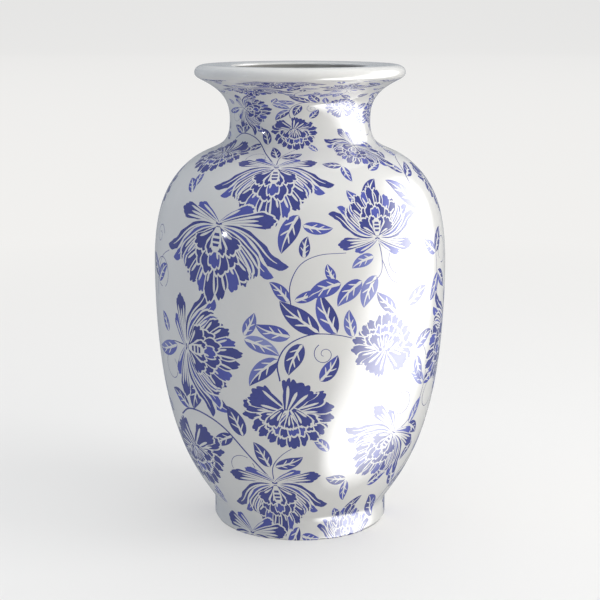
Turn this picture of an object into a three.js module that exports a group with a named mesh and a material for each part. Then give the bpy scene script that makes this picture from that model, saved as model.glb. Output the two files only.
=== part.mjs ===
// A baluster porcelain vase, millimetres, +Z up, origin on the floor at the middle of the foot.
//
// The vase is a body of revolution. A potter throws and turns it in separate clay sections and
// lutes them together with slip before the glaze goes on, so each section is its own solid here:
// foot ring, floor disc, lower body, belly, shoulder, neck and lip. Every luted joint is a ridge
// on the upper section in a groove of the lower one, with the thin slip layer left as a gap.
import * as THREE from 'three';

// ---- driving dimensions ----
const HEIGHT = 355;
const SEGMENTS = 48;
const SLIP = 0.3;

const FOOT = { contactRadius: 66.2, wallRadius: 67.9, edgeRound: 3, wallTop: 14 };
const RECESS = { radius: 56, bevel: 2.2 };
const BODY = { startRadius: 70.8, startZ: 22, startSlope: 0.67, bellyRadius: 112.3, bellyZ: 200 };
const SHOULDER = { bendRadius: 85.5, bendZ: 281.4, bendAngle: 40.5 };
const NECK = { waistRadius: 53.4, waistZ: 313.5, flareRadius: 75.1, flareZ: 344, flareAngle: 26 };
const LIP = { outerRadius: 79.8, outerZ: 349.3, crestRadius: 72 };
const BORE = { radius: 52, drop: 0.8, round: 1.4 };
const WALL = { body: 6, neckBore: 47.6 };
const FLOOR = { underside: 7, top: 15, insideRadius: 50 };

// ---- heights of the luted joints, foot to lip ----
const JOINT = { foot: 19, lowerBody: 95, belly: 200, shoulder: 303, neck: 336 };
const RIDGE = { halfWidth: 1.2, clearance: 0.15 };
const SEAT = { ledgeRadius: 61, ledgeZ: 11.5 };

const PORCELAIN = { color: 0xe9e7e1, roughness: 0.12, metalness: 0 };
const BISQUE = { color: 0xd9d2c4, roughness: 0.75, metalness: 0 };
const INSIDE_GLAZE = { color: 0xd4d2cb, roughness: 0.3, metalness: 0 };

const point = (radius, z) => new THREE.Vector2(radius, z);
const radians = THREE.MathUtils.degToRad;

// a point a given way from another, along an angle measured up from the horizontal
function along(start, angle, distance) {
  return point(start.x + Math.cos(angle) * distance, start.y + Math.sin(angle) * distance);
}

function cubic(start, startHandle, endHandle, end, steps) {
  return new THREE.CubicBezierCurve(start, startHandle, endHandle, end).getPoints(steps);
}

// ---- outer outline, from the foot wall up to the underside of the lip ----
function outerOutline() {
  const wallTop = point(FOOT.wallRadius, FOOT.wallTop);
  const bodyStart = point(BODY.startRadius, BODY.startZ);
  const bodyLean = Math.atan2(1, BODY.startSlope);
  const belly = point(BODY.bellyRadius, BODY.bellyZ);
  const bend = point(SHOULDER.bendRadius, SHOULDER.bendZ);
  const bendLean = Math.PI - radians(SHOULDER.bendAngle);
  const waist = point(NECK.waistRadius, NECK.waistZ);
  const flare = point(NECK.flareRadius, NECK.flareZ);
  const flareLean = radians(NECK.flareAngle);

  const bellyHandle = point(belly.x, belly.y - 120);
  const corner = cubic(wallTop, along(wallTop, Math.PI / 2, 3), along(bodyStart, bodyLean, -4), bodyStart, 3);
  const lowerBody = cubic(bodyStart, along(bodyStart, bodyLean, 27.5), bellyHandle, belly, 9);
  const upperBody = cubic(belly, point(belly.x, belly.y + 40), along(bend, bendLean, -26.6), bend, 6);
  const shoulder = cubic(bend, along(bend, bendLean, 23.5), point(waist.x, waist.y - 24.6), waist, 7);
  const flaring = cubic(waist, point(waist.x, waist.y + 12.7), along(flare, flareLean, -20.5), flare, 6);
  return [
    ...corner,
    ...lowerBody.slice(1),
    ...upperBody.slice(1),
    ...shoulder.slice(1),
    ...flaring.slice(1),
  ];
}

// an outline moved inwards by the wall thickness, square to the surface
function insetOutline(outline, thickness) {
  return outline.map((here, index) => {
    const before = outline[Math.max(index - 1, 0)];
    const after = outline[Math.min(index + 1, outline.length - 1)];
    const direction = after.clone().sub(before).normalize();
    return point(here.x - direction.y * thickness, here.y + direction.x * thickness);
  });
}

// ---- inner outline, from the floor up to the edge of the bore ----
function innerOutline(outline) {
  const floorEdge = point(FLOOR.insideRadius, FLOOR.top);
  const wall = insetOutline(outline, WALL.body)
    .filter((here) => here.y > BODY.startZ + 2 * WALL.body && here.y < SHOULDER.bendZ);
  const first = wall[0];
  const last = wall[wall.length - 1];
  const bore = point(WALL.neckBore, NECK.waistZ);
  const boreEdge = point(BORE.radius, HEIGHT - BORE.drop - BORE.round);
  const fillet = cubic(floorEdge, along(floorEdge, 0, 10), along(first, radians(55), -8), first, 5);
  const throat = cubic(last, along(last, radians(130), 18), point(bore.x, bore.y - 22), bore, 6);
  const bell = cubic(bore, point(bore.x, bore.y + 12), point(boreEdge.x, boreEdge.y - 14), boreEdge, 4);
  return [...fillet, ...wall.slice(1), ...throat.slice(1), ...bell.slice(1)];
}

// the radius of an outline at a height
function radiusAt(outline, z) {
  const next = outline.findIndex((here) => here.y > z);
  const low = outline[next - 1];
  const high = outline[next];
  return THREE.MathUtils.mapLinear(z, low.y, high.y, low.x, high.x);
}

// the part of an outline between two heights, with a point put in at each end
function between(outline, bottom, top) {
  const inside = outline.filter((here) => here.y > bottom + 0.5 && here.y < top - 0.5);
  return [point(radiusAt(outline, bottom), bottom), ...inside, point(radiusAt(outline, top), top)];
}

// the V-shaped line across a luted joint, listed from the inside outwards
function jointLine(joint, side) {
  const centre = (radiusAt(OUTER, joint) + radiusAt(INNER, joint)) / 2;
  const z = joint + (side * SLIP) / 2;
  const half = RIDGE.halfWidth + (side < 0 ? RIDGE.clearance : 0);
  return [point(centre - half, z), point(centre, z - half), point(centre + half, z)];
}

// ---- sections ----
const OUTER = outerOutline();
const INNER = innerOutline(OUTER);

// one wall section between two luted joints
function wallSection(lowerJoint, upperJoint) {
  const bottom = lowerJoint + SLIP / 2;
  const top = upperJoint - SLIP / 2;
  return [
    ...between(OUTER, bottom, top),
    ...jointLine(upperJoint, -1).reverse(),
    ...between(INNER, bottom, top).reverse(),
    ...jointLine(lowerJoint, 1),
  ];
}

// the foot: a flat ring to stand on, a straight wall, and a ledge that the floor disc sits on
function footSection() {
  const top = JOINT.foot - SLIP / 2;
  const round = point(FOOT.contactRadius, 0);
  const roundEnd = point(FOOT.wallRadius, FOOT.edgeRound);
  const edge = cubic(round, point(FOOT.wallRadius - 0.5, 0), point(FOOT.wallRadius, 0.8), roundEnd, 3);
  return [
    point(RECESS.radius + RECESS.bevel, 0),
    ...edge,
    ...between(OUTER, FOOT.wallTop, top),
    ...jointLine(JOINT.foot, -1).reverse(),
    point(SEAT.ledgeRadius, top),
    point(SEAT.ledgeRadius, SEAT.ledgeZ),
    point(RECESS.radius, SEAT.ledgeZ),
    point(RECESS.radius, RECESS.bevel),
  ];
}

// the floor disc: a plug in the foot ring, a flange on its ledge, and the inside corner above
function floorSection() {
  const top = JOINT.foot - SLIP / 2;
  const plug = RECESS.radius - SLIP;
  const flange = SEAT.ledgeRadius - SLIP;
  const corner = between(INNER, FLOOR.top, top).reverse();
  return [
    point(0, FLOOR.underside),
    point(plug - 1, FLOOR.underside),
    point(plug, FLOOR.underside + 1),
    point(plug, SEAT.ledgeZ + SLIP),
    point(flange, SEAT.ledgeZ + SLIP),
    point(flange, top),
    ...corner,
    point(0, FLOOR.top),
  ];
}

// the lip: the flare rolls over into a thick bead and a broad, slightly dished top
function lipSection() {
  const bottom = JOINT.neck + SLIP / 2;
  const flare = OUTER[OUTER.length - 1];
  const outer = point(LIP.outerRadius, LIP.outerZ);
  const crest = point(LIP.crestRadius, HEIGHT);
  const dish = point(BORE.radius + BORE.round, HEIGHT - BORE.drop);
  const boreEdge = INNER[INNER.length - 1];
  const flareLean = radians(NECK.flareAngle);
  const under = cubic(flare, along(flare, flareLean, 2.6), point(outer.x, outer.y - 2.8), outer, 3);
  const over = cubic(outer, point(outer.x, outer.y + 3.2), point(crest.x + 4.3, crest.y), crest, 4);
  const top = cubic(crest, point(crest.x - 6, crest.y), along(dish, radians(5), 6), dish, 3);
  const roll = cubic(dish, along(dish, radians(185), 0.9), point(boreEdge.x, boreEdge.y + 0.9), boreEdge, 2);
  const outside = OUTER.filter((here) => here.y > bottom + 0.5);
  const inside = INNER.filter((here) => here.y > bottom + 0.5);
  return [
    point(radiusAt(OUTER, bottom), bottom),
    ...outside,
    ...under.slice(1),
    ...over.slice(1),
    ...top.slice(1),
    ...roll.slice(1),
    ...inside.slice(0, -1).reverse(),
    point(radiusAt(INNER, bottom), bottom),
    ...jointLine(JOINT.neck, 1),
  ];
}

// ---- meshes ----
// spins a section about the axis, as a closed ring or as a disc that starts and ends on the axis
function turn(name, section, finish) {
  const isDisc = section[0].x === 0;
  const profile = isDisc ? section : [...section, section[0].clone()];
  const geometry = new THREE.LatheGeometry(profile, SEGMENTS);
  geometry.rotateX(Math.PI / 2);
  const mesh = new THREE.Mesh(geometry, new THREE.MeshStandardMaterial(finish));
  mesh.name = name;
  return mesh;
}

const vase = new THREE.Group();
vase.name = 'porcelain_vase';
vase.add(
  turn('foot_ring', footSection(), BISQUE),
  turn('base_floor', floorSection(), INSIDE_GLAZE),
  turn('lower_body', wallSection(JOINT.foot, JOINT.lowerBody), PORCELAIN),
  turn('belly', wallSection(JOINT.lowerBody, JOINT.belly), PORCELAIN),
  turn('shoulder', wallSection(JOINT.belly, JOINT.shoulder), PORCELAIN),
  turn('neck', wallSection(JOINT.shoulder, JOINT.neck), PORCELAIN),
  turn('lip', lipSection(), PORCELAIN),
);

export default vase;
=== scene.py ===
"""A painted porcelain baluster vase: the glazed, decorated surface around the CAD frame.

The vase is a body of revolution. Its outline is drawn once, as radius + height in millimetres. The
painting is drawn flat, on the unrolled surface, where every point is angle + height in degrees of
turn. The unrolled height is stretched so that shapes keep their proportions at every radius.
The flat painting is cut into the surface as faces, one material for each tone of cobalt.
"""
import cmath
import math

import bpy
import numpy as np
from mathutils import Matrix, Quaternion, Vector
from mathutils.geometry import delaunay_2d_cdt


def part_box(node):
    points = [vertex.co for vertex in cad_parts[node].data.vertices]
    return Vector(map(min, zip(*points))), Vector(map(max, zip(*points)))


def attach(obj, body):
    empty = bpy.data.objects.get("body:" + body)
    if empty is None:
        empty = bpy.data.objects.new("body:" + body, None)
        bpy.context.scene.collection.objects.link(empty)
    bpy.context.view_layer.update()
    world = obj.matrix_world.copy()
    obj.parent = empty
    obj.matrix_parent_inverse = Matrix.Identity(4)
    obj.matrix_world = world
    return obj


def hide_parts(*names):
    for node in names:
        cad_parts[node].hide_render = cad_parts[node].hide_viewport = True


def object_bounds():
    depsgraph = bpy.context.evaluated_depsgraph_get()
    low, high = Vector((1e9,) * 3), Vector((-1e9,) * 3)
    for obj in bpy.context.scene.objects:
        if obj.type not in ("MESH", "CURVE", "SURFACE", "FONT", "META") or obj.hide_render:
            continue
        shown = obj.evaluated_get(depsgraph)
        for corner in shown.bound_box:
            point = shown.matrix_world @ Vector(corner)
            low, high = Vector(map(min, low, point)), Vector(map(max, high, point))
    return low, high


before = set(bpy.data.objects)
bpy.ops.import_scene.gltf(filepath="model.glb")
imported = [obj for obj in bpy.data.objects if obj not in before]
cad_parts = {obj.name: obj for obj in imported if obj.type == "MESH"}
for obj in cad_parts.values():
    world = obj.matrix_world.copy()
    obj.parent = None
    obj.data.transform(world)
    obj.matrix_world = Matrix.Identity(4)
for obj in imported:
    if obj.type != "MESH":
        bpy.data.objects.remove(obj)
cad_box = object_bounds()

# ---- outline, in millimetres on a vase of this height, scaled to the frame ----
DRAWN_HEIGHT = 355.0
MM = (cad_box[1].z - cad_box[0].z) / DRAWN_HEIGHT
WALL = 6.0
SLIP = 0.3                  # the slip layer in each luted joint
FOOT = 66.2                 # radius of the flat ring it stands on
RECESS = 56.0               # radius of the hollow under the foot
UNDERSIDE, FLOOR_TOP = 7j, 15j
BELLY = 112.3 + 200j        # the widest place
BEND = 85.5 + 281.4j        # where the shoulder starts to turn up
BEND_LEAN = 139.5           # which way the shoulder runs there, in degrees
WAIST, BORE_WAIST = 53.4 + 313.5j, 47.6 + 313.5j
BORE = 52 + 352.8j          # the edge of the opening

JOINTS = [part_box(node)[1].z / MM + SLIP / 2
          for node in ("foot_ring", "lower_body", "belly", "shoulder", "neck")]
# name, the CAD nodes it shows, slot
PIECES = (
    ("vase_foot", ("foot_ring", "base_floor"), "painted_glaze"),
    ("vase_lower_body", ("lower_body",), "painted_glaze"),
    ("vase_belly", ("belly",), "painted_glaze"),
    ("vase_shoulder", ("shoulder",), "painted_glaze"),
    ("vase_neck", ("neck",), "painted_glaze"),
    ("vase_lip", ("lip",), "white_glaze"),
)
PAINT_TOP = 345.4           # the painting ends under the lip
SEGMENTS = 144              # round the plain surfaces
GRID = 3.0                  # degrees between the points that carry the curve of the painted surface

PLAIN_ANGLES = np.arange(SEGMENTS) * 360.0 / SEGMENTS - 180
ZERO_HEIGHT = 0.7           # the height on the foot where the painting's own zero lies
# Heights in the painting, and where they lie on the wall. It is drawn out over the foot and
# squeezed below the lip.
PAINTED_HEIGHTS = (-100.0, 46.0, 214.0, 245.0, 258.0, 400.0)
WALL_HEIGHTS = (-165.7, 46.0, 214.0, 236.0, 242.5, 285.0)


# the materials: bare ground, four tones of cobalt, the inside in dark glaze as painted shade, and the foot
GROUND, DEEP, MID, LIGHT, PALE, SHADED_INSIDE, BARE = range(7)


# ---- painting: shapes on the unrolled surface, as complex numbers angle + height * 1j, in degrees ----
PATTERN_PERIOD = 134.6      # degrees of height after which the painting repeats
GAP = 0.55                  # white line left between petals


def blade(base, heading, length, bend, width, flick=0.0):
    """Maps (t, s) to the plane, t along a centre line and s across it, from -1 to 1.

    The line bends evenly, and flicks back near its tip.
    """
    q = np.linspace(0, 1.2, 49)
    angle = np.radians(heading + bend * q + flick * np.clip((q - 0.6) / 0.4, 0, 1.2) ** 1.4)
    way = np.exp(1j * angle)
    step = length * (q[1] - q[0]) * (way[1:] + way[:-1]) / 2
    centre = base + np.concatenate([[0], np.cumsum(step)])

    def place(t, s):
        t, s = np.asarray(t, float), np.asarray(s, float)
        middle = np.interp(t, q, centre.real) + 1j * np.interp(t, q, centre.imag)
        return middle + 1j * np.exp(1j * np.interp(t, q, angle)) * s * width(t)
    return place


def both_sides(place, t, left, right):
    """An outline up one side of a centre line and back down the other."""
    return np.concatenate([place(t, left), place(t, right)[::-1]])


def fan_width(widest, root):
    """Widens from a part of the full width, at the root, to the full width at the end."""
    return lambda t: widest * (root + (1 - root) * np.clip(t, 0, 1.2) ** 0.9)


def spear_width(widest, at):
    """Pointed at both ends and widest at one place along it."""
    back, front = at * 1.6, (1 - at) * 1.6
    top = (back / (back + front)) ** back * (front / (back + front)) ** front

    def width(t):
        t = np.clip(t, 0, 1)
        return widest * (t ** back * (1 - t) ** front / top)
    return width


def scallops(s, lobes, depth, lean):
    """How far a ruffled petal edge stands out, at each place across it. Lobes differ in size."""
    q = (s + 1) / 2 + 0.05 * np.sin(2 * np.pi * (s + 1) / 2 + lean)
    uneven = 1 + 0.35 * np.sin(5.3 * q * lobes / 2 + 2.1 * lean)
    return depth * uneven * np.abs(np.sin(np.pi * lobes * q)) ** 0.55 - 0.18 * s * s + 0.05 * lean * s


def fan_outline(place, lobes, depth, lean):
    """Up one wavy side of a petal, along its ruffled end and back down the other side."""
    s = np.linspace(-1, 1, 6 * lobes + 1)
    end = 0.90 + scallops(s, lobes, depth, lean)
    side_end = 0.66
    side = np.linspace(0.0, side_end, 6)
    wave = 1 - 0.10 * np.sin(side / side_end * 3 * np.pi) ** 2
    return np.concatenate([place(side, -wave), place(end, s), place(side[::-1], wave[::-1])])


def bar(place, start, end, s0, s1, thick, width):
    """A round-ended white line along a petal, from (start, s0) to (end, s1)."""
    q = np.linspace(0, 1, 8) ** 0.8
    t = start + (end - start) * q
    s = s0 + (s1 - s0) * q
    half = thick * np.minimum(1, 0.3 + 1.1 * q) * np.sqrt(np.clip(1 - q ** 10, 0.02, 1))
    across = half / np.maximum(width(t), 0.3)
    return both_sides(place, t, s - across, s + across)


def fan_petal(paint, base, heading, length, widest, lobes, veins, tone, bend=0, root=0.3, inside=0.06,
              reach=0.80):
    """A petal with a ruffled end and white veins that start where the petals inside it stop covering it."""
    width = fan_width(widest, root)
    depth = 1.15 * widest / (lobes * length)
    lean = math.sin(heading * 1.7 + length)
    place = blade(base, heading, length, bend, width)
    under = blade(base, heading, length + 0.9, bend, lambda t: width(t) + GAP)
    paint(fan_outline(under, lobes, depth, lean), GROUND)
    paint(fan_outline(place, lobes, depth, lean), tone)
    for k in range(veins):
        across = 0.1 * lean if veins == 1 else -0.6 + 1.2 * k / (veins - 1) + 0.08 * lean
        end = reach - 0.10 * abs(across) - 0.12 * ((k + int(heading)) % 2)
        paint(bar(place, inside, end, across * 0.7, across, 0.34 + 0.035 * widest, width), GROUND)


def flame_petal(paint, base, heading, length, widest, bend, flick, tone, stripes=1):
    """A long swept petal with a wavy edge and a curling, split tip. White lines follow it."""
    side = 1 if bend < 0 else -1
    width = spear_width(widest, 0.66)
    place = blade(base, heading, length, bend, width, flick)
    under = blade(base, heading, length + 0.8, bend, lambda t: width(t) + GAP * (1 - t ** 6), flick)
    t = np.linspace(0, 1, 31)
    paint(both_sides(under, t, -1, 1), GROUND)
    late = np.clip((t - 0.42) / 0.58, 0, 1)
    inner = 1 - 0.42 * np.abs(np.sin(np.pi * 3.5 * late)) ** 0.6 * (late > 0) * (late < 0.98)
    outer = 1 - 0.20 * np.abs(np.sin(np.pi * 2.5 * late + 0.4)) * (late > 0) * (late < 0.98)
    paint(both_sides(place, t, -side * inner, side * outer), tone)
    q = np.linspace(0, 1, 15)
    for stripe in range(stripes):
        t = 0.12 + 0.05 * stripe + (0.74 - 0.2 * stripe) * q
        half = (0.36 - 0.06 * stripe) * np.sin(np.pi * np.clip(q, 0.03, 0.97)) ** 0.5
        across = half / np.maximum(width(t), 0.3)
        line = side * (0.34 - 0.1 * q - 0.6 * stripe)
        paint(both_sides(place, t, line - across, line + across), GROUND)


def leaf(paint, base, tip, widest, tones, bend=0.0, veins=2):
    """A pointed leaf in two halves, parted by a white midrib with side veins. Its tip flicks aside."""
    chord = tip - base
    heading = math.degrees(cmath.phase(chord)) - bend / 2
    length = 1.15 * abs(chord)
    width = spear_width(1.22 * widest, 0.42)
    place = blade(base, heading, length, bend, width, math.copysign(14, bend))
    t = np.linspace(0.0, 1, 14)
    rib = 0.62 * (1 - t) ** 0.7
    gap = np.minimum(rib / np.maximum(width(t), 0.25), 0.9)
    for side, tone in ((1, tones[0]), (-1, tones[1])):
        paint(both_sides(place, t, side * gap, side)[:-1], tone)
    for k in range(veins):
        for side in (1, -1):
            start = 0.2 + 0.25 * k + 0.05 * side
            paint(side_vein(place, start, side), GROUND)


def side_vein(place, start, side):
    """A white line from the midrib of a leaf, slanting out to one side and thinning."""
    q = np.linspace(0, 1, 6)
    t = start + 0.22 * q ** 0.8
    s = 0.74 * q
    half = 0.42 * np.sqrt(np.clip(1 - q ** 3, 0.01, 1))
    along = half / 13.0
    return np.concatenate([place(t - along, side * s), place(t + along, side * s)[::-1]])


def ribbon(points, start, end):
    """A painted line along points, with its half-width going from start to end."""
    ways = np.gradient(points)
    ways = ways / np.abs(ways)
    half = np.linspace(start, end, len(points))
    return np.concatenate([points + 1j * ways * half, (points - 1j * ways * half)[::-1]])


def through(knots, steps=7):
    """A smooth line through given knots (Catmull-Rom)."""
    k = [2 * knots[0] - knots[1], *knots, 2 * knots[-1] - knots[-2]]
    line = []
    for a, b, c, d in zip(k, k[1:], k[2:], k[3:]):
        for u in np.arange(steps) / steps:
            line.append(0.5 * (2 * b + (c - a) * u + (2 * a - 5 * b + 4 * c - d) * u ** 2
                               + (3 * b - a - 3 * c + d) * u ** 3))
    return np.array([*line, knots[-1]])


def ring(centre, radius, start):
    """A ring left open just before it closes."""
    turn = np.radians(start + np.linspace(0, 330, 40))
    return centre + radius * np.exp(1j * turn) * np.linspace(1, 0.93, 40)


def curl(centre, radius, start):
    """A tendril that winds in towards its centre."""
    q = np.linspace(0, 1, 46)
    turns = 1.35
    return centre + radius * (1 - 0.82 * q) * np.exp(1j * (np.radians(start) + 2 * np.pi * turns * q))


# ---- flowers, each drawn about its own origin with the outermost petals first ----
def drooping_peony(paint):
    """Ragged wings and swept, lobed petals hang from the stem round a ruffled skirt."""
    for side in (1, -1):
        def swap(heading):
            return heading if side > 0 else 180 - heading
        shrink = 1.0 if side > 0 else 0.94
        fan_petal(paint, 1.0j, swap(145), 16 * shrink, 4.2, 5, 2, MID, bend=30 * side, root=0.1)
        fan_petal(paint, 0.5j, swap(164), 25 * shrink, 4.2, 5, 3, DEEP, bend=14 * side, root=0.07)
        for heading, length, widest, bend, flick, tone, stripes in (
                (172, 33, 3.0, 92, -96, DEEP, 2), (186, 30, 2.9, 84, -84, MID, 1)):
            flame_petal(paint, -0.4j, swap(heading), length * shrink, widest, bend * side, flick * side,
                        tone, stripes)
        for heading, length, widest, bend, tone in (
                (196, 26.5, 3.7, 58, DEEP), (208, 26, 3.6, 50, MID), (220, 26, 3.7, 40, DEEP)):
            fan_petal(paint, -0.6j, swap(heading), length * shrink, widest, 4, 2, tone, bend=bend * side,
                      root=0.08, inside=0.3, reach=0.9)
    for heading, length, widest, tone in (
            (236, 24, 3.9, DEEP), (305, 23, 3.9, DEEP), (249, 26, 4.0, MID), (293, 25.5, 4.0, DEEP),
            (262, 28, 4.1, DEEP), (281, 26.5, 4.1, MID), (272, 29.5, 3.6, DEEP)):
        fan_petal(paint, -1j, heading, length, widest, 4, 2, tone, root=0.12, inside=0.5,
                  bend=(heading - 270) / 5, reach=0.88)
    for heading, length, widest, tone in (
            (240, 16, 4.2, DEEP), (300, 15.5, 4.2, DEEP), (257, 18, 3.9, DEEP), (284, 17.5, 3.9, DEEP),
            (270, 15.5, 3.2, MID)):
        fan_petal(paint, -1j, heading, length, widest, 3, 2, tone, root=0.12, inside=0.42)
    for heading in (229, 311):
        fan_petal(paint, -0.4j, heading, 12.5, 4.4, 4, 2, DEEP, root=0.1, inside=0.2,
                  bend=(heading - 270) / 3)
    for heading in (252, 288):
        fan_petal(paint, -0.8j, heading, 10.5, 2.3, 3, 1, DEEP, root=0.15, inside=0.25)
    heart(paint, -0.6j)


def heart(paint, base):
    """The white heart of a flower, with three short bars across it."""
    width = spear_width(1.8, 0.6)
    place = blade(base, 270, 8.5, 0, width)
    under = blade(base, 270, 9.4, 0, lambda t: width(t) + GAP)
    t = np.linspace(0, 1, 11)
    paint(both_sides(under, t, -1, 1), GROUND)
    for start in (0.26, 0.5, 0.72):
        t = np.array([start, start, start + 0.13, start + 0.13])
        paint(place(t, np.array([-0.85, 0.85, 0.85, -0.85])), DEEP)


def open_peony(paint):
    """Two broad scalloped petals fan out above a nest of ruffled ones."""
    for heading, length, widest, lobes, veins in (
            (188, 18.5, 3.3, 3, 3), (172, 19, 3.6, 4, 2), (-24, 18.5, 3.4, 3, 3), (-8, 19.5, 3.2, 3, 3),
            (7, 19, 3.2, 3, 2), (24, 17, 3.6, 3, 2), (150, 16.5, 6.4, 6, 2), (64, 13.5, 8.6, 7, 3)):
        fan_petal(paint, -1 + 0.5j, heading, length, widest, lobes, veins, DEEP, root=0.16)
    for heading, length in ((205, 18), (326, 17.5), (222, 17), (309, 17), (240, 16.5), (293, 16.5),
                            (258, 17), (276, 17.5)):
        fan_petal(paint, 0.2j, heading, length, 3.3, 3, 2, DEEP, root=0.12, inside=0.45)
    for heading, length, tone in (
            (196, 12.5, DEEP), (340, 12, DEEP), (216, 12, DEEP), (321, 12, DEEP), (238, 11.5, MID),
            (299, 11.5, MID), (259, 12, DEEP), (280, 11, MID)):
        fan_petal(paint, 0.4j, heading, length, 2.7, 3, 2, tone, root=0.12, inside=0.4)
    fan_petal(paint, 1.2 + 1.6j, -38, 9.5, 3.4, 4, 2, DEEP, bend=-30, root=0.2, inside=0.15)
    fan_petal(paint, -2.4 + 1.4j, 222, 9, 3.0, 3, 2, DEEP, bend=24, root=0.2, inside=0.15)
    for heading in (246, 290, 268):
        fan_petal(paint, -0.2 - 1.0j, heading, 5.8, 1.9, 3, 1, DEEP, root=0.2)


# ---- the painting: everything placed one by one at (angle, height) in degrees of turn ----
# flower, place of its stem or middle, turn, size, mirrored
FLOWERS = (
    (drooping_peony, -12 + 44.0j, 2, 0.98, False),
    (drooping_peony, -32.5 + 15.0j, -3, 1.0, True),
    (drooping_peony, -48 + 102.0j, 88, 0.92, False),
    (open_peony, -4 + 80.0j, 0, 1.0, False),
    (open_peony, -56 + 55.0j, 14, 1.1, True),
    (drooping_peony, 30 + 11.0j, 176, 0.72, False),
    (open_peony, 33 + 104.0j, 170, 0.8, False),
    (drooping_peony, 43 + 66.0j, -38, 0.85, True),
    (drooping_peony, 82 + 100.0j, -72, 0.85, False),
    (open_peony, 88 + 28.0j, -20, 0.95, False),
)
# base, tip, half-width and tones of the two halves
LEAVES = (
    (-3.5 + 110.3j, -15 + 113.5j, 2.4, LIGHT, MID), (7 + 111.5j, -6 + 121.5j, 3.1, DEEP, DEEP),
    (13.5 + 111j, 7.5 + 124.5j, 2.9, MID, DEEP), (20 + 109.5j, 18 + 118.5j, 2.0, LIGHT, MID),
    (1 + 107.5j, -4 + 97j, 2.7, DEEP, DEEP), (-8 + 101.5j, -18.5 + 92j, 2.7, DEEP, LIGHT),
    (7.5 + 93j, 13.5 + 101.5j, 2.4, MID, DEEP), (-4 + 123j, -10 + 129.5j, 1.9, MID, MID),
    (-2 + 123.5j, 7 + 127j, 1.6, MID, MID), (1.5 + 139j, 2.5 + 146j, 1.7, DEEP, DEEP),
    (15 + 129.5j, 4 + 125.5j, 2.6, MID, MID), (12.5 + 130.5j, 10 + 136j, 1.5, MID, MID),
    (23 + 130j, 14.5 + 122.5j, 2.6, LIGHT, MID), (29 + 131.5j, 24 + 121.5j, 2.6, LIGHT, LIGHT),
    (28 + 138.5j, 20 + 135.5j, 1.9, LIGHT, LIGHT), (-0.5 + 155j, -6.5 + 142.5j, 2.9, DEEP, MID),
    (1 + 151j, 11 + 149.5j, 1.9, MID, MID), (-21 + 110j, -17 + 117.5j, 1.9, LIGHT, LIGHT),
    (-21 + 108.5j, -9 + 104j, 2.4, PALE, LIGHT), (-55 + 101.5j, -72 + 97j, 2.5, MID, LIGHT),
    (-61.5 + 105.5j, -66 + 112j, 2.0, MID, MID), (-43 + 88j, -48.5 + 77.5j, 3.0, DEEP, DEEP),
    (-42 + 88j, -30 + 79j, 2.8, DEEP, MID), (-24 + 68j, -29 + 79.5j, 3.0, DEEP, DEEP),
    (-29 + 67.5j, -39 + 62j, 2.4, DEEP, DEEP), (-52 + 76j, -62 + 81.5j, 2.5, MID, DEEP),
    (-13.5 + 53.5j, -18.5 + 64.5j, 2.7, DEEP, DEEP), (-11 + 54j, 0 + 58.5j, 2.4, DEEP, DEEP),
    (12 + 62j, 6 + 68j, 1.8, LIGHT, MID), (22 + 46j, 13 + 47j, 2.1, DEEP, DEEP),
    (22.5 + 45j, 23.5 + 36j, 1.9, MID, MID), (27 + 23.5j, 34.5 + 34.5j, 2.5, DEEP, DEEP),
    (26 + 23j, 20.5 + 29.5j, 2.0, MID, MID), (55 + 20j, 44 + 33j, 3.4, DEEP, MID),
    (53 + 68j, 61 + 63j, 2.3, DEEP, DEEP), (53 + 68.5j, 58 + 78j, 2.0, LIGHT, LIGHT),
    (59 + 85j, 50 + 91j, 2.0, LIGHT, PALE), (59 + 85.5j, 69 + 89.5j, 2.1, DEEP, MID),
    (59 + 35j, 70 + 42j, 2.2, DEEP, DEEP), (58 + 37j, 51 + 45j, 2.2, DEEP, MID),
    (-52 + 27j, -58 + 33j, 1.9, MID, MID), (-52 + 30j, -53 + 38j, 1.9, MID, MID),
    (66 + 128j, 60 + 119j, 2.2, MID, MID), (66 + 128.5j, 74 + 122j, 2.2, DEEP, MID),
    (64 + 136j, 56 + 141j, 2.1, MID, MID), (64 + 136j, 70 + 144j, 2.3, DEEP, DEEP),
    (-70 + 126j, -78 + 133j, 2.3, DEEP, MID), (-70 + 124j, -62 + 131j, 2.1, MID, MID),
    (76 + 60j, 84 + 66j, 2.2, DEEP, MID), (76 + 58j, 70 + 50j, 2.1, MID, MID),
    (-84 + 84j, -76 + 78j, 2.2, DEEP, DEEP), (50 + 101j, 60 + 106j, 2.2, DEEP, MID),
    (51 + 98j, 56 + 88j, 2.1, MID, MID), (62 + 58j, 56 + 50j, 2.0, DEEP, DEEP),
    (38 + 117j, 30 + 124j, 2.1, DEEP, MID), (44 + 119j, 54 + 124j, 2.3, DEEP, DEEP),
    (-70 + 70j, -80 + 74j, 2.2, DEEP, MID), (36 + 41j, 45 + 45j, 2.0, DEEP, MID),
)
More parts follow.
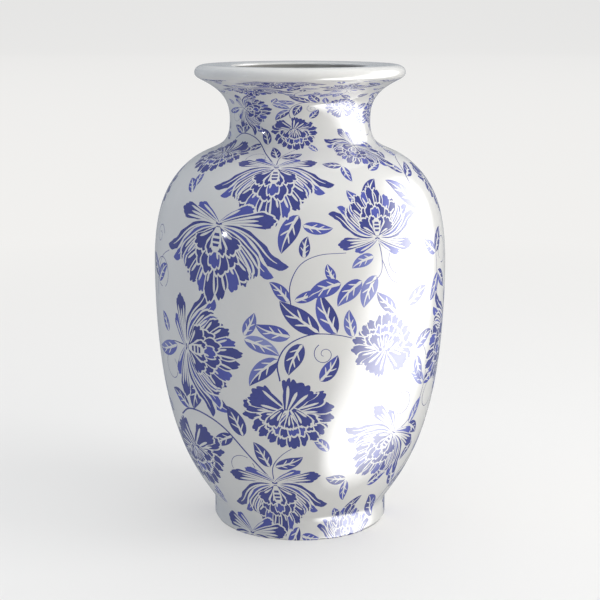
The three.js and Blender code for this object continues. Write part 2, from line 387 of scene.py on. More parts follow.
# knots of each stem, then its half-width at each end
STEMS = (
    ((-7.5 + 93j, -8.3 + 100j, -4.5 + 107j, 4 + 111j, 14 + 110.5j, 24 + 107.5j), 0.3, 0.14),
    ((-3.2 + 120.5j, -3.6 + 129j, 0 + 136.5j, 7 + 140j, 17 + 140.5j), 0.22, 0.1),
    ((30 + 146j, 31.5 + 137j, 30 + 131j, 22 + 127j), 0.22, 0.12),
    ((31.5 + 137j, 36 + 129j, 45 + 126j), 0.18, 0.1),
    ((-49 + 102.5j, -58 + 102.5j, -66 + 99.5j, -73 + 93j), 0.24, 0.12),
    ((-60 + 71j, -52 + 75.5j, -42 + 75j, -32 + 70j, -22 + 58j, -12.8 + 45.5j), 0.36, 0.36),
    ((-12.4 + 45.5j, -12 + 54j, -7 + 61j, 2 + 67j), 0.26, 0.1),
    ((43.5 + 66.5j, 51 + 69.5j, 57.5 + 77j, 60 + 87j, 58 + 98j, 49 + 107.5j), 0.22, 0.14),
    ((56 + 24j, 58.5 + 35j, 65 + 45.5j, 76 + 51j), 0.34, 0.2),
    ((80 + 101j, 72 + 108j, 66 + 119j, 65 + 131j, 64 + 138j), 0.26, 0.12),
    ((-72 + 118j, -71 + 126j, -66 + 134j, -58 + 138j), 0.22, 0.1),
    ((88 + 40j, 80 + 50j, 75.5 + 60j, 78 + 72j), 0.26, 0.14),
)
# centre, radius and where the gap is
RINGS = (
    (-26.5 + 52j, 6.2, 60), (-61.5 + 91.5j, 5.0, 80), (45.5 + 79.5j, 5.0, 200), (67 + 79j, 6.2, 20),
    (40 + 136.5j, 5.6, 120), (72 + 136j, 5.2, 250), (-66 + 128j, 6.0, 300), (-82 + 60j, 5.4, 30),
)
CURLS = ((9 + 103.5j, 4.2, 120), (-70 + 142j, 4.4, 10))


def paint_tile(paint, shift, first, last):
    """One tile of the painting, moved by shift, leaving out what lies outside the heights given."""
    def seen(spot, reach):
        return first - reach < (spot + shift).imag < last + reach

    def stroke(points, start, end):
        paint(ribbon(points + shift, start, end), DEEP)

    for knots, start, end in STEMS:
        if seen(knots[0], 40):
            stroke(through(list(knots)), start, end)
    for centre, radius, start in RINGS:
        if seen(centre, 8):
            stroke(ring(centre, radius, start), 0.14, 0.14)
    for centre, radius, start in CURLS:
        if seen(centre, 8):
            stroke(curl(centre, radius, start), 0.15, 0.1)
    for base, tip, widest, upper, lower in LEAVES:
        if seen(base, 14):
            bend = 22 * math.sin(7 * base.real + base.imag)
            leaf(paint, base + shift, tip + shift, widest, (upper, lower), bend)
    for flower, spot, turn, size, mirrored in FLOWERS:
        if seen(spot, 34):
            placed = size * cmath.exp(1j * math.radians(turn))

            def paint_flower(points, tone):
                points = -points.conj() if mirrored else points
                paint(points * placed + spot + shift, tone)
            flower(paint_flower)


# ---- the outline of the vase ----
def cubic(start, start_handle, end_handle, end, steps):
    """A cubic Bezier curve."""
    t = np.linspace(0, 1, steps + 1)
    return ((1 - t) ** 3 * start + 3 * t * (1 - t) ** 2 * start_handle
            + 3 * t * t * (1 - t) * end_handle + t ** 3 * end)


def aim(degrees, length):
    """A step of some length in a direction."""
    return length * cmath.exp(1j * math.radians(degrees))


def joined(*runs):
    """Curves laid end to end, without the doubled points where they meet."""
    points = [runs[0]]
    for run in runs[1:]:
        points.append(np.atleast_1d(run)[1:])
    return np.concatenate(points)


def line(start, end, steps):
    """A straight run of points."""
    return start + (end - start) * np.linspace(0, 1, steps + 1)


def outer_outline():
    """From the edge of the flat foot, up the wall and over the lip to the edge of the bore."""
    contact, wall, wall_top = FOOT + 0j, 67.9 + 3j, 67.9 + 14j
    start, lean = 70.8 + 22j, math.degrees(math.atan2(1, 0.67))
    flare, outer, crest, dish = 75.1 + 344j, 79.8 + 349.3j, 72 + 355j, 53.4 + 354.2j
    return joined(
        cubic(contact, 67.4 + 0j, 67.9 + 0.8j, wall, 12),
        line(wall, wall_top, 6),
        cubic(wall_top, wall_top + 3j, start - aim(lean, 4), start, 14),
        cubic(start, start + aim(lean, 27.5), BELLY - 120j, BELLY, 120),
        cubic(BELLY, BELLY + 40j, BEND - aim(BEND_LEAN, 26.6), BEND, 90),
        cubic(BEND, BEND + aim(BEND_LEAN, 23.5), WAIST - 24.6j, WAIST, 70),
        cubic(WAIST, WAIST + 12.7j, flare - aim(26, 20.5), flare, 60),
        cubic(flare, flare + aim(26, 2.6), outer - 2.8j, outer, 16),
        cubic(outer, outer + 3.2j, crest + 4.3, crest, 24),
        cubic(crest, crest - 6, dish + aim(5, 6), dish, 16),
        cubic(dish, dish - aim(5, 0.9), BORE + 0.9j, BORE, 8),
    )


def inner_outline(outer):
    """From the edge of the bore down the inside to the middle of the floor."""
    ways = np.gradient(outer)
    inset = outer + 1j * WALL * ways / np.abs(ways)
    wall = inset[: np.argmax(outer.imag > BEND.imag - 0.1)]
    corner_top = 34
    wall = wall[wall.imag > corner_top]
    floor = 50 + FLOOR_TOP
    return joined(
        cubic(BORE, BORE - 14j, BORE_WAIST + 12j, BORE_WAIST, 30),
        cubic(BORE_WAIST, BORE_WAIST - 22j, wall[-1] + aim(130, 18), wall[-1], 40),
        wall[::-1],
        cubic(wall[0], wall[0] - aim(55, 8), floor + 10, floor, 24),
        line(floor, FLOOR_TOP, 10),
    )


def underside():
    """From the middle of the underside out to the edge of the flat foot."""
    corner, side, edge = RECESS - 6 + UNDERSIDE, RECESS + 3j, RECESS + 2.4 + 0j
    return joined(
        line(UNDERSIDE, corner, 10),
        cubic(corner, RECESS - 1.6 + UNDERSIDE, RECESS + 5.9j, side, 10),
        cubic(side, RECESS + 1.1j, RECESS + 0.9 + 0j, edge, 8),
        line(edge, FOOT + 0j, 4),
    )


def facing(points):
    """Outward normals of an outline that runs up the outside and down the inside."""
    ways = np.gradient(points)
    return -1j * ways / np.abs(ways)


def between(at, places, values):
    """Complex values read at places that lie between the ones they are given for."""
    return np.interp(at, places, values.real) + 1j * np.interp(at, places, values.imag)


OUTER = outer_outline()
OUTER_FACING = facing(OUTER)
INNER = inner_outline(OUTER)
INNER_FACING = facing(INNER)
UNDER = underside()


def unroll(outline):
    """How high each point of the outline lies on the unrolled surface, in degrees of turn."""
    mean_radius = (outline.real[1:] + outline.real[:-1]) / 2
    rise = np.degrees(np.concatenate([[0], np.cumsum(np.abs(np.diff(outline)) / mean_radius)]))
    return rise - np.interp(ZERO_HEIGHT, outline.imag[:20], rise[:20])


UNROLLED = unroll(OUTER)


def profile_at(height):
    """The outline's point and normal at an unrolled height."""
    spot, out = (between(height, UNROLLED, values) for values in (OUTER, OUTER_FACING))
    return spot, out / np.abs(out)


def on_wall(angle, height):
    """Points and normals on the vase for an angle and unrolled height, both in degrees."""
    spot, out = profile_at(height)
    return spun(angle, spot), spun(angle, out)


def spun(angle, profile):
    """Turns radius + height round the axis. Angle 0 is the front and 90 is to the right."""
    turn = np.radians(angle)
    return np.stack([profile.real * np.sin(turn), -profile.real * np.cos(turn), profile.imag], axis=-1)


# ---- cutting the painting into the surface ----
CUT_GAP, SEAM_GAP, LEVEL_GAP = 1e-5, 1e-4, 1e-3     # degrees within which places count as one


def painting(first, last):
    """Every painted shape between two unrolled heights, as outlines with their tones."""
    shapes, tones = [], []

    def paint(points, tone):
        points = laid_on_wall(points)
        if points.imag.max() < first or points.imag.min() > last:
            return
        for once_more_round in (-360, 0, 360):
            moved = points + once_more_round
            if moved.real.max() > -180 and moved.real.min() < 180:
                shapes.append(moved)
                tones.append(tone)

    lowest, highest = np.interp((first, last), WALL_HEIGHTS, PAINTED_HEIGHTS)
    for half_turn in (0, 180):
        for row in (-1, 0, 1, 2):
            paint_tile(paint, half_turn + 1j * row * PATTERN_PERIOD, lowest, highest)
    return shapes, tones


def laid_on_wall(points):
    """Draws out the painting where the wall narrows to the foot, and squeezes it where the neck flares."""
    return points.real + 1j * np.interp(points.imag, PAINTED_HEIGHTS, WALL_HEIGHTS)


def tones_at(spots, shapes, tones):
    """The tone painted last at each spot, by how often each outline winds round it."""
    order = np.argsort(spots.real)
    ordered = spots[order]
    found = np.full(len(spots), GROUND)
    for shape, tone in zip(shapes, tones):
        start, end = np.searchsorted(ordered.real, (shape.real.min(), shape.real.max()))
        near = np.arange(start, end)
        heights = ordered.imag[near]
        near = near[(heights > shape.imag.min()) & (heights < shape.imag.max())]
        if not len(near):
            continue
        spot = ordered[near][:, None]
        here, there = shape[None, :], np.roll(shape, -1)[None, :]
        side = ((there.real - here.real) * (spot.imag - here.imag)
                - (there.imag - here.imag) * (spot.real - here.real))
        rising = (here.imag <= spot.imag) & (there.imag > spot.imag) & (side > 0)
        falling = (here.imag > spot.imag) & (there.imag <= spot.imag) & (side < 0)
        inside = rising.sum(axis=1) != falling.sum(axis=1)
        found[order[near[inside]]] = tone
    return found


def triangulated(points, edges):
    """Triangles that follow all the edges, and the points with the places where edges cross."""
    flat = [Vector((p.real, p.imag)) for p in points]
    cut, _, triangles = delaunay_2d_cdt(flat, edges, [], 0, CUT_GAP, False)[:3]
    cut = np.array([(p.x, p.y) for p in cut])
    return cut[:, 0] + 1j * cut[:, 1], np.array(triangles)


def outlines_between(triangles, tones):
    """The edges that part two tones."""
    sides = np.concatenate([triangles[:, [0, 1]], triangles[:, [1, 2]], triangles[:, [2, 0]]])
    edges = np.sort(sides, axis=1)
    owner_tone = np.tile(tones, 3)
    order = np.lexsort((edges[:, 1], edges[:, 0]))
    edges, owner_tone = edges[order], owner_tone[order]
    paired = np.all(edges[1:] == edges[:-1], axis=1)
    unlike = paired & (owner_tone[1:] != owner_tone[:-1])
    return edges[1:][unlike]


def cut_surface(levels):
    """The unrolled surface as triangles with the tone painted on each.

    The painting is triangulated once to find which outlines show. Those are then triangulated
    again, with the levels where the pieces part, the seam, and a grid that carries the curve.
    """
    first, last = levels[0], levels[-1]
    shapes, tones = painting(first, last)
    points, edges = [], []

    def add(run, closed=False):
        start = len(points)
        points.extend(run)
        edges.extend((start + i, start + i + 1) for i in range(len(run) - 1))
        if closed:
            edges.append((start + len(run) - 1, start))

    for shape in shapes:
        add(shape, closed=True)
    flat, triangles = triangulated(np.array(points), edges)
    painted = tones_at(flat[triangles].mean(axis=1), shapes, tones)
    outlines = outlines_between(triangles, painted)

    used, renumbered = np.unique(outlines, return_inverse=True)
    points, edges = list(flat[used]), [tuple(edge) for edge in renumbered.reshape(-1, 2).tolist()]
    for level in levels:
        add(np.arange(-180, 180.01, GRID / 2) + 1j * level)
    rows = np.linspace(first, last, int((last - first) / GRID) + 1)
    for side in (-180, 180):
        add(side + 1j * rows)
    for number, row in enumerate(rows[1:-1]):
        offset = GRID * (0.5 + 0.5 * (number % 2))
        points.extend(np.arange(-180 + offset, 179.9, GRID) + 1j * row)
    flat, triangles = triangulated(np.array(points), edges)
    middle = flat[triangles].mean(axis=1)
    kept = (np.abs(middle.real) < 180) & (middle.imag > first) & (middle.imag < last)
    triangles = triangles[kept]
    return flat, triangles, tones_at(middle[kept], shapes, tones)


def close_seam(flat, triangles, painted):
    """Joins the two edges of the unrolled surface, at the back of the vase."""
    used = np.unique(triangles)
    right = used[np.abs(flat[used].real - 180) < SEAM_GAP]
    left = used[np.abs(flat[used].real + 180) < SEAM_GAP]

    def nearest(points, targets):
        apart = np.abs(flat[points].imag[:, None] - flat[targets].imag[None, :])
        return targets[np.argmin(apart, axis=1)]

    moved_to = np.arange(len(flat))
    moved_to[right] = nearest(right, left)
    taken = np.isin(left, moved_to[right])
    moved_to[left[~taken]] = nearest(left[~taken], left[taken])
    triangles = moved_to[triangles]
    whole = has_three_corners(triangles)
    return triangles[whole], painted[whole]


def has_three_corners(triangles):
    a, b, c = triangles.T
    return (a != b) & (b != c) & (c != a)


SAME_PLACE = 1e-7           # metres between points that become one


class Solid:
    """A closed skin, gathered strip by strip. Points that coincide become one at the end."""

    def __init__(self):
        self.points, self.normals, self.faces, self.slots = [], [], [], []
        self.count = 0

    def add_points(self, points, normals):
        start = self.count
        self.points.append(points)
        self.normals.append(normals)
        self.count += len(points)
        return start

    def add_faces(self, faces, slots):
        faces = np.asarray(faces, int).reshape(-1, 3)
        self.faces.append(faces)
        self.slots.append(np.broadcast_to(slots, len(faces)))

    def ring(self, angles, spot, normal):
        around = np.ones(len(angles))
        return self.add_points(spun(angles, spot * around), spun(angles, normal * around))

    def strip(self, profile, slot, normals):
        """Spins a stretch of the section. It may start or end on the axis."""
        start = self.count
        for spot, normal in zip(profile, normals):
            self.ring(PLAIN_ANGLES, spot, normal)
        here = start + np.arange(SEGMENTS)
        following = start + (np.arange(SEGMENTS) + 1) % SEGMENTS
        for row in range(len(profile) - 1):
            low, high = row * SEGMENTS, (row + 1) * SEGMENTS
            if profile[row].real > 1e-6:
                self.add_faces(np.stack([here + low, following + low, following + high], 1), slot)
            if profile[row + 1].real > 1e-6:
                self.add_faces(np.stack([here + low, following + high, here + high], 1), slot)

    def zip_rings(self, angles, wall_spot, wall_normal, plain_spot, plain_normal, slot, leaving):
        """Closes the band between an edge of the painted skin and a plain ring beside it."""
        angles = np.sort(angles)
        wall = self.ring(angles, wall_spot, wall_normal)
        plain = self.ring(PLAIN_ANGLES, plain_spot, plain_normal)
        wall_stops = [*angles[1:], angles[0] + 360, math.inf]
        plain_stops = [*PLAIN_ANGLES[1:], PLAIN_ANGLES[0] + 360, math.inf]
        i, j, faces = 0, 0, []
        while i < len(angles) or j < SEGMENTS:
            a, b = wall + i % len(angles), plain + j % SEGMENTS
            if wall_stops[i] <= plain_stops[j]:
                i += 1
                faces.append((a, wall + i % len(angles), b))
            else:
                j += 1
                faces.append((a, plain + j % SEGMENTS, b))
        faces = np.array(faces)
        self.add_faces(faces if leaving else faces[:, ::-1], slot)

    def make(self, name, materials):
        """The Blender object, with its normals taken from the exact section."""
        points, normals = np.concatenate(self.points) * MM, np.concatenate(self.normals)
        faces, slots = np.concatenate(self.faces), np.concatenate(self.slots)
        rounded = np.round(points / SAME_PLACE).astype(np.int64)
        _, first, merged_to = np.unique(rounded, axis=0, return_index=True, return_inverse=True)
        merged = merged_to.ravel()[faces]
        whole = has_three_corners(merged)
        merged, faces, slots = merged[whole], faces[whole], slots[whole]
        mesh = bpy.data.meshes.new(name)
        mesh.from_pydata(points[first].tolist(), [], merged.tolist())
        for material in materials:
            mesh.materials.append(material)
        mesh.polygons.foreach_set("material_index", slots.astype(np.int32))
        mesh.polygons.foreach_set("use_smooth", np.ones(len(merged), bool))
        mesh.update()
        mesh.normals_split_custom_set(normals[faces].reshape(-1, 3).tolist())
        piece = bpy.data.objects.new(name, mesh)
        bpy.context.scene.collection.objects.link(piece)
        return piece


# ---- parts of the section ----
END_GAP = 0.05              # millimetres of height kept free beside an added end point
JOINT_EDGE = 0.5            # how far a joint face stays inside the wall


def stretch_of(outline, normals, low, high):
    """The part of an outline between two heights, with its normals and a point put in at each end."""
    if outline.imag[0] > outline.imag[-1]:
        spots, ways = stretch_of(outline[::-1], normals[::-1], low, high)
        return spots[::-1], ways[::-1]
    z, numbers = outline.imag, np.arange(len(outline))
    inside = np.flatnonzero((z > low + END_GAP) & (z < high - END_GAP))
    start, end = np.interp((low, high), z, numbers)
    at = np.concatenate([[start], inside, [end]])
    spots, ways = between(at, numbers, outline), between(at, numbers, normals)
    return spots, ways / np.abs(ways)


def painted_skin(solid, surface, low, high):
    """Puts the painted skin between two unrolled heights into a solid. Returns the angles of its edges."""
    flat, triangles, painted = surface
    heights = flat.imag[triangles].mean(axis=1)
    mine = (heights > low) & (heights < high)
    used, numbered = np.unique(triangles[mine], return_inverse=True)
    spots = flat[used]
    for level in (low, high):
        on_level = np.abs(spots.imag - level) < LEVEL_GAP
        spots = np.where(on_level, spots.real + 1j * level, spots)
    points, normals = on_wall(spots.real, spots.imag)
    start = solid.add_points(points, normals)
    solid.add_faces(start + numbered.reshape(-1, 3), painted[mine])
    return [spots[spots.imag == level].real for level in (low, high)]


def wall_radius(outline, z):
    """The radius of a rising or falling outline at a height."""
    order = np.argsort(outline.imag)
    return float(np.interp(z, outline.imag[order], outline.real[order]))


def unrolled_height(z):
    """The unrolled height of a height on the painted wall."""
    rising = np.argmax(OUTER.imag)
    return float(np.interp(z, OUTER.imag[:rising], UNROLLED[:rising]))


def close_outside(solid, angles, joint, top):
    """Turns the edge of the painted skin in to the luted face, and returns the face's outline.

    The face lies half a slip layer short of the joint, just inside the wall.
    """
    up = 1j if top else -1j
    outer, inner = wall_radius(OUTER, joint), wall_radius(INNER, joint)
    face = np.array([outer - JOINT_EDGE, (outer + inner) / 2, inner + JOINT_EDGE])
    face = face + 1j * joint - up * SLIP / 2
    solid.zip_rings(angles, outer + 1j * joint, up, face[0], up, GROUND, leaving=top)
    return face if top else face[::-1]


# ---- materials ----
GLAZE_IOR = 2.0
# how fine the glaze's colour drift, specks, changes of gloss and ripple are
DRIFT, SPECKS, GLOSS, RIPPLE = 22, 420, 60, 34


class Nodes:
    """Short ways to add shader nodes to one material."""

    def __init__(self, name):
        self.material = bpy.data.materials.new(name)
        self.material.use_nodes = True
        self.tree = self.material.node_tree
        self.shader = self.tree.nodes["Principled BSDF"]
        self.place = self.add("ShaderNodeTexCoord").outputs["Object"]

    def add(self, kind, **settings):
        node = self.tree.nodes.new(kind)
        for key, value in settings.items():
            setattr(node, key, value)
        return node

    def link(self, output, socket):
        self.tree.links.new(output, socket)

    def noise(self, scale, detail, seed=0.0):
        """Noise in the object's own space, at another place for each seed."""
        mapping = self.add("ShaderNodeMapping")
        mapping.inputs["Location"].default_value = (seed, seed * 0.7, seed * 1.3)
        self.link(self.place, mapping.inputs["Vector"])
        noise = self.add("ShaderNodeTexNoise")
        noise.inputs["Scale"].default_value = scale
        noise.inputs["Detail"].default_value = detail
        self.link(mapping.outputs["Vector"], noise.inputs["Vector"])
        return noise.outputs["Fac"]

    def fitted(self, value, low, high, new_low=0.0, new_high=1.0):
        fit = self.add("ShaderNodeMapRange")
        limits = {"From Min": low, "From Max": high, "To Min": new_low, "To Max": new_high}
        for name, number in limits.items():
            fit.inputs[name].default_value = number
        self.link(value, fit.inputs["Value"])
        return fit.outputs["Result"]

    def mixed(self, fac, first, second):
        mix = self.add("ShaderNodeMix", data_type="RGBA")
        self.link(fac, mix.inputs["Factor"])
        for socket, colour in ((mix.inputs[6], first), (mix.inputs[7], second)):
            if isinstance(colour, tuple):
                socket.default_value = (*colour, 1)
            else:
                self.link(colour, socket)
        return mix.outputs[2]

    def bump(self, height, strength, distance):
        bump = self.add("ShaderNodeBump")
        bump.inputs["Strength"].default_value = strength
        bump.inputs["Distance"].default_value = distance
        self.link(height, bump.inputs["Height"])
        self.link(bump.outputs["Normal"], self.shader.inputs["Normal"])


def glaze(name, thin, thick, seed, pooled=0.5):
    """Glossy porcelain glaze. The colour drifts between two tones as the cobalt or glaze thins."""
    nodes = Nodes(name)
    drift = nodes.noise(DRIFT, 3, seed=seed)
    grain = nodes.noise(SPECKS, 2, seed=seed + 5)
    blend = nodes.fitted(drift, 0.3, 0.7)
    soft = nodes.mixed(blend, thin, thick)
    speck = nodes.fitted(grain, 0.35, 0.75, 0.0, pooled)
    nodes.link(nodes.mixed(speck, soft, thick), nodes.shader.inputs["Base Color"])
    nodes.link(nodes.fitted(nodes.noise(GLOSS, 2, seed=seed + 9), 0.3, 0.7, 0.06, 0.11),
               nodes.shader.inputs["Roughness"])
    nodes.bump(nodes.noise(RIPPLE, 3, seed=3.0), 0.10, 0.0006)
    nodes.shader.inputs["IOR"].default_value = GLAZE_IOR
    return nodes.material


def bare_foot():
    """Unglazed porcelain: warm, matt and slightly sandy."""
    nodes = Nodes("bare_porcelain")
    soil = nodes.fitted(nodes.noise(60, 4, seed=2), 0.35, 0.7)
    nodes.link(nodes.mixed(soil, (0.66, 0.60, 0.50), (0.50, 0.42, 0.32)), nodes.shader.inputs["Base Color"])
    nodes.link(nodes.fitted(nodes.noise(500, 3), 0.3, 0.7, 0.68, 0.85), nodes.shader.inputs["Roughness"])
    nodes.bump(nodes.noise(900, 3), 0.3, 0.0004)
    return nodes.material


def make_materials():
    """One material for each of GROUND to BARE, in that order."""
    return [
        glaze("glaze_white", (0.675, 0.662, 0.632), (0.625, 0.615, 0.588), 1, 0.3),
        glaze("cobalt_deep", (0.042, 0.052, 0.26), (0.026, 0.032, 0.185), 11),
        glaze("cobalt_mid", (0.075, 0.092, 0.38), (0.050, 0.062, 0.30), 21),
        glaze("cobalt_light", (0.145, 0.168, 0.44), (0.10, 0.118, 0.37), 31),
        glaze("cobalt_pale", (0.235, 0.26, 0.50), (0.17, 0.195, 0.44), 41),
        # painted shade: the inside glaze is dark grey for the dimness inside the vase
        glaze("glaze_inside_painted_shade", (0.30, 0.29, 0.27), (0.24, 0.235, 0.22), 51),
        bare_foot(),
    ]


# ---- the six pieces ----
GLAZE_STOP = 2.0            # the recess is bare below this height


def wall_section(surface, low_joint, high_joint):
    """One luted section of the wall: painted outside, an inside in dark glaze that paints its shade, a slip
    joint at each end.
    """
    solid = Solid()
    ends = unrolled_height(low_joint), unrolled_height(high_joint)
    low, high = painted_skin(solid, surface, *ends)
    top = close_outside(solid, high, high_joint, top=True)
    bottom = close_outside(solid, low, low_joint, top=False)
    inside, inside_facing = stretch_of(INNER, INNER_FACING, low_joint, high_joint)
    solid.strip(np.append(top, inside[0]), GROUND, np.full(4, 1j))
    solid.strip(inside, SHADED_INSIDE, inside_facing)
    solid.strip(np.append(inside[-1], bottom), GROUND, np.full(4, -1j))
    return solid


def foot_section(surface, high_joint):
    """The foot and floor: a bare contact ring, a glazed recess, and the inside of the bottom."""
    solid = Solid()
    low, high = painted_skin(solid, surface, UNROLLED[0], unrolled_height(high_joint))
    top = close_outside(solid, high, high_joint, top=True)
    inside, inside_facing = stretch_of(INNER, INNER_FACING, INNER.imag.min(), high_joint)
    solid.strip(np.append(top, inside[0]), GROUND, np.full(4, 1j))
    below = np.flatnonzero(INNER.imag < high_joint - END_GAP)
    floor, floor_facing = np.append(inside[0], INNER[below]), np.append(inside_facing[0], INNER_FACING[below])
    solid.strip(floor, SHADED_INSIDE, floor_facing)
    bare_from = np.argmax(UNDER.imag < GLAZE_STOP)
    under_facing = facing(UNDER)
    solid.strip(UNDER[: bare_from + 1], GROUND, under_facing[: bare_from + 1])
    solid.strip(UNDER[bare_from:-1], BARE, under_facing[bare_from:-1])
    solid.zip_rings(low, OUTER[0], -1j, UNDER[-2], under_facing[-2], BARE, leaving=False)
    return solid


def lip_section(surface, low_joint):
    """The lip: the painted flare below, the thick plain bead, the dished top and the bore."""
    solid = Solid()
    paint_end = unrolled_height(PAINT_TOP)
    low, high = painted_skin(solid, surface, unrolled_height(low_joint), paint_end)
    bottom = close_outside(solid, low, low_joint, top=False)
    beyond = np.argmax(UNROLLED > paint_end + 0.2)
    edge, edge_facing = profile_at(paint_end)
    solid.zip_rings(high, edge, edge_facing, OUTER[beyond], OUTER_FACING[beyond], GROUND, leaving=True)
    solid.strip(OUTER[beyond:], GROUND, OUTER_FACING[beyond:])
    inside, inside_facing = stretch_of(INNER, INNER_FACING, low_joint, INNER[0].imag)
    solid.strip(inside, SHADED_INSIDE, inside_facing)
    solid.strip(np.append(inside[-1], bottom), GROUND, np.full(4, -1j))
    return solid


def build_vase():
    materials = make_materials()
    paint_top = unrolled_height(PAINT_TOP)
    levels = [UNROLLED[0], *(unrolled_height(joint) for joint in JOINTS), paint_top]
    flat, triangles, painted = cut_surface(levels)
    surface = (flat, *close_seam(flat, triangles, painted))
    solids = [foot_section(surface, JOINTS[0])]
    solids += [wall_section(surface, low, high) for low, high in zip(JOINTS, JOINTS[1:])]
    solids.append(lip_section(surface, JOINTS[-1]))
    for (name, nodes, slot), solid in zip(PIECES, solids):
        piece = solid.make(name, materials)
        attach(piece, "root")
        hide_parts(*nodes)


# ---- the studio, in metres; azimuth 0 is the front and 90 is to the right ----
FILL_COLOUR, FILL = (0.86, 0.935, 1.04), 0.33

PAPER_HALF_WIDTH, PAPER_FRONT, PAPER_BACK = 30.0, -12.0, 12.0
PAPER_CURVE, PAPER_TOP = 4.0, 10.0      # radius of the curve up behind, and how high the paper goes
PAPER_REACH = 16.0
# distance from the vase and the tone of the paper's glow there, darker further away as a painted falloff of
# the light; it is white past its reach
PAPER_GLOW_TONES = (
    (0.96, (0.885, 0.877, 0.862)),
    (10.88, (0.83, 0.825, 0.815)),
    (PAPER_REACH, (0.77, 0.768, 0.762)),
    (PAPER_REACH, (1.0, 1.0, 1.0)),
)
PAPER_COLOURS = (0.735, 0.725, 0.705), (0.725, 0.715, 0.695)
# half of the paper's light is its own painted glow near the vase, which lightens the shadows there, and all
# of it from the second distance on
GLOW_FROM, GLOW_TO, GLOW_NEAR = 0.25, 1.4, 0.5

BODY_MIDDLE, VASE_MIDDLE = 0.17, 0.2    # heights that the lights look at
WINDOW_RADIANCE = 6.0
WINDOW_SIZE, WINDOW_ROLL = (1.3, 3.6), -36
WINDOW_FADE = 0.5, 0.25                 # part of the width and height over which each edge fades
LAMP_SIZE, LAMP_WATTS = 0.035, 1.6
# name, height looked at, azimuth, elevation, distance, size, watts, colour
SOFT_LIGHTS = (
    ("window", BODY_MIDDLE, 78, 30, 2.5, 1.2, 30.0, (1, 1, 1)),
    ("front_fill", VASE_MIDDLE, 50, 14, 2.0, 1.2, 16.0, (1, 0.98, 0.95)),
    ("left_sky", VASE_MIDDLE, -80, 10, 2.0, 1.5, 4.0, (0.4, 0.75, 1.5)),
    ("overhead", 0.0, 180, 84, 2.2, 3.0, 44.0, (1, 1, 1)),
)

CAMERA_PLACE, CAMERA_TILT = (0, -1.0845, 0.3958), 78.39
LENS, SENSOR = 85, 36                   # millimetres


def make_world():
    world = bpy.data.worlds.new("studio")
    bpy.context.scene.world = world
    world.use_nodes = True
    background = world.node_tree.nodes["Background"]
    background.inputs["Color"].default_value = (*FILL_COLOUR, 1)
    background.inputs["Strength"].default_value = FILL


def paper_mesh():
    """A sheet that lies flat, then curves up behind to a wall."""
    turn = np.linspace(0, math.pi / 2, 13)
    curve = zip(PAPER_BACK + PAPER_CURVE * np.sin(turn), PAPER_CURVE - PAPER_CURVE * np.cos(turn))
    profile = [(PAPER_FRONT, 0.0), *curve, (PAPER_BACK + PAPER_CURVE, PAPER_TOP)]
    corners = [(side * PAPER_HALF_WIDTH, float(y), float(z)) for y, z in profile for side in (-1, 1)]
    faces = [(2 * i, 2 * i + 1, 2 * i + 3, 2 * i + 2) for i in range(len(profile) - 1)]
    mesh = bpy.data.meshes.new("floor")
    mesh.from_pydata(corners, [], faces)
    return mesh


def paper_material():
    """Pale matt paper that takes shadows near the vase, half lightened by its own painted glow, and fades
    into that glow far away, darker with distance.
    """
    nodes = Nodes("floor_paper")
    mottle = nodes.fitted(nodes.noise(3.0, 3), 0.3, 0.7)
    nodes.link(nodes.mixed(mottle, *PAPER_COLOURS), nodes.shader.inputs["Base Color"])
    nodes.shader.inputs["Roughness"].default_value = 0.9
    nodes.shader.inputs["Specular IOR Level"].default_value = 0.1
    distance = nodes.add("ShaderNodeVectorMath", operation="LENGTH")
    nodes.link(nodes.place, distance.inputs[0])
    reach = distance.outputs["Value"]
    tone = nodes.add("ShaderNodeValToRGB")
    nodes.link(nodes.fitted(reach, 0.0, PAPER_REACH), tone.inputs[0])
    stops = tone.color_ramp.elements
    for away, _ in PAPER_GLOW_TONES[1:-1]:
        stops.new(away / PAPER_REACH)
    for stop, (away, colour) in zip(stops, PAPER_GLOW_TONES):
        stop.position, stop.color = away / PAPER_REACH, (*colour, 1)
    # painted light: the paper glows with no lamp, in tones that darken with distance, and near the vase this
    # glow is half its light and lightens its shadows
    glow = nodes.add("ShaderNodeEmission")
    nodes.link(tone.outputs["Color"], glow.inputs["Color"])
    mix = nodes.add("ShaderNodeMixShader")
    nodes.link(nodes.fitted(reach, GLOW_FROM, GLOW_TO, GLOW_NEAR, 1.0), mix.inputs[0])
    nodes.link(nodes.shader.outputs[0], mix.inputs[1])
    nodes.link(glow.outputs[0], mix.inputs[2])
    nodes.link(mix.outputs[0], nodes.tree.nodes["Material Output"].inputs["Surface"])
    return nodes.material


def make_floor():
    mesh = paper_mesh()
    mesh.materials.append(paper_material())
    floor = bpy.data.objects.new("floor", mesh)
    bpy.context.scene.collection.objects.link(floor)
    floor.visible_glossy = False


def area_light(name, looks_at, azimuth, elevation, distance, size, watts, colour=(1, 1, 1), roll=0):
    """A panel, width by height, that looks at a height on the axis from an azimuth and elevation."""
    turn, rise = math.radians(azimuth), math.radians(elevation)
    way = Vector((math.sin(turn) * math.cos(rise), -math.cos(turn) * math.cos(rise), math.sin(rise)))
    light = bpy.data.lights.new(name, "AREA")
    light.shape, light.size, light.size_y = "RECTANGLE", *size
    light.energy, light.color = watts, colour
    lamp = bpy.data.objects.new(name, light)
    lamp.location = Vector((0, 0, looks_at)) + way * distance
    facing_in = way.to_track_quat("Z", "Y") @ Quaternion((0, 0, 1), math.radians(roll))
    lamp.rotation_euler = facing_in.to_euler()
    lamp.visible_camera = False
    bpy.context.scene.collection.objects.link(lamp)
    return lamp


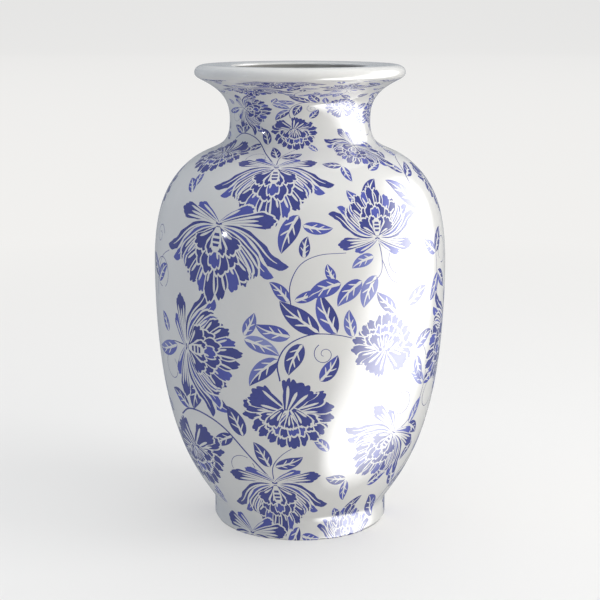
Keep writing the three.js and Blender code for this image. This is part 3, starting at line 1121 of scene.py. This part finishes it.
def soften_edges(lamp, across, along):
    """Fades a panel out towards its edges, over a part of its width and of its height."""
    lamp.data.use_nodes = True
    nodes, links = lamp.data.node_tree.nodes, lamp.data.node_tree.links
    spread = nodes.new("ShaderNodeSeparateXYZ")
    links.new(nodes.new("ShaderNodeNewGeometry").outputs["Parametric"], spread.inputs[0])
    strength = None
    for axis, fade in (("X", across), ("Y", along)):
        for near, far in ((0.0, fade), (1.0, 1.0 - fade)):
            ramp = nodes.new("ShaderNodeMapRange")
            ramp.interpolation_type = "SMOOTHSTEP"
            ramp.inputs["From Min"].default_value, ramp.inputs["From Max"].default_value = near, far
            links.new(spread.outputs[axis], ramp.inputs["Value"])
            product = nodes.new("ShaderNodeMath")
            product.operation = "MULTIPLY"
            product.inputs[1].default_value = 1.0
            links.new(ramp.outputs["Result"], product.inputs[0])
            if strength:
                links.new(strength, product.inputs[1])
            strength = product.outputs[0]
    links.new(strength, nodes["Emission"].inputs["Strength"])


def make_lights():
    """A window and a small lamp seen only as reflections, and soft lights that are never seen."""
    width, height = WINDOW_SIZE
    pane = area_light("window_reflection", BODY_MIDDLE, 84, -12, 0.8, WINDOW_SIZE,
                      WINDOW_RADIANCE * math.pi * width * height, roll=WINDOW_ROLL)
    soften_edges(pane, *WINDOW_FADE)
    lamp = area_light("small_lamp", VASE_MIDDLE, -60, 12, 2.0, (LAMP_SIZE, LAMP_SIZE), LAMP_WATTS)
    for reflected in (pane, lamp):
        reflected.visible_diffuse = False
    for name, looks_at, azimuth, elevation, distance, size, watts, colour in SOFT_LIGHTS:
        soft = area_light(name, looks_at, azimuth, elevation, distance, (size, size), watts, colour)
        soft.visible_glossy = False


def make_camera():
    camera = bpy.data.cameras.new("camera")
    camera.lens, camera.sensor_width = LENS, SENSOR
    holder = bpy.data.objects.new("camera", camera)
    holder.location = CAMERA_PLACE
    holder.rotation_euler = (math.radians(CAMERA_TILT), 0, 0)
    bpy.context.scene.collection.objects.link(holder)
    bpy.context.scene.camera = holder


build_vase()
make_world()
make_floor()
make_lights()
make_camera()
bpy.context.scene.view_settings.view_transform = "Standard"
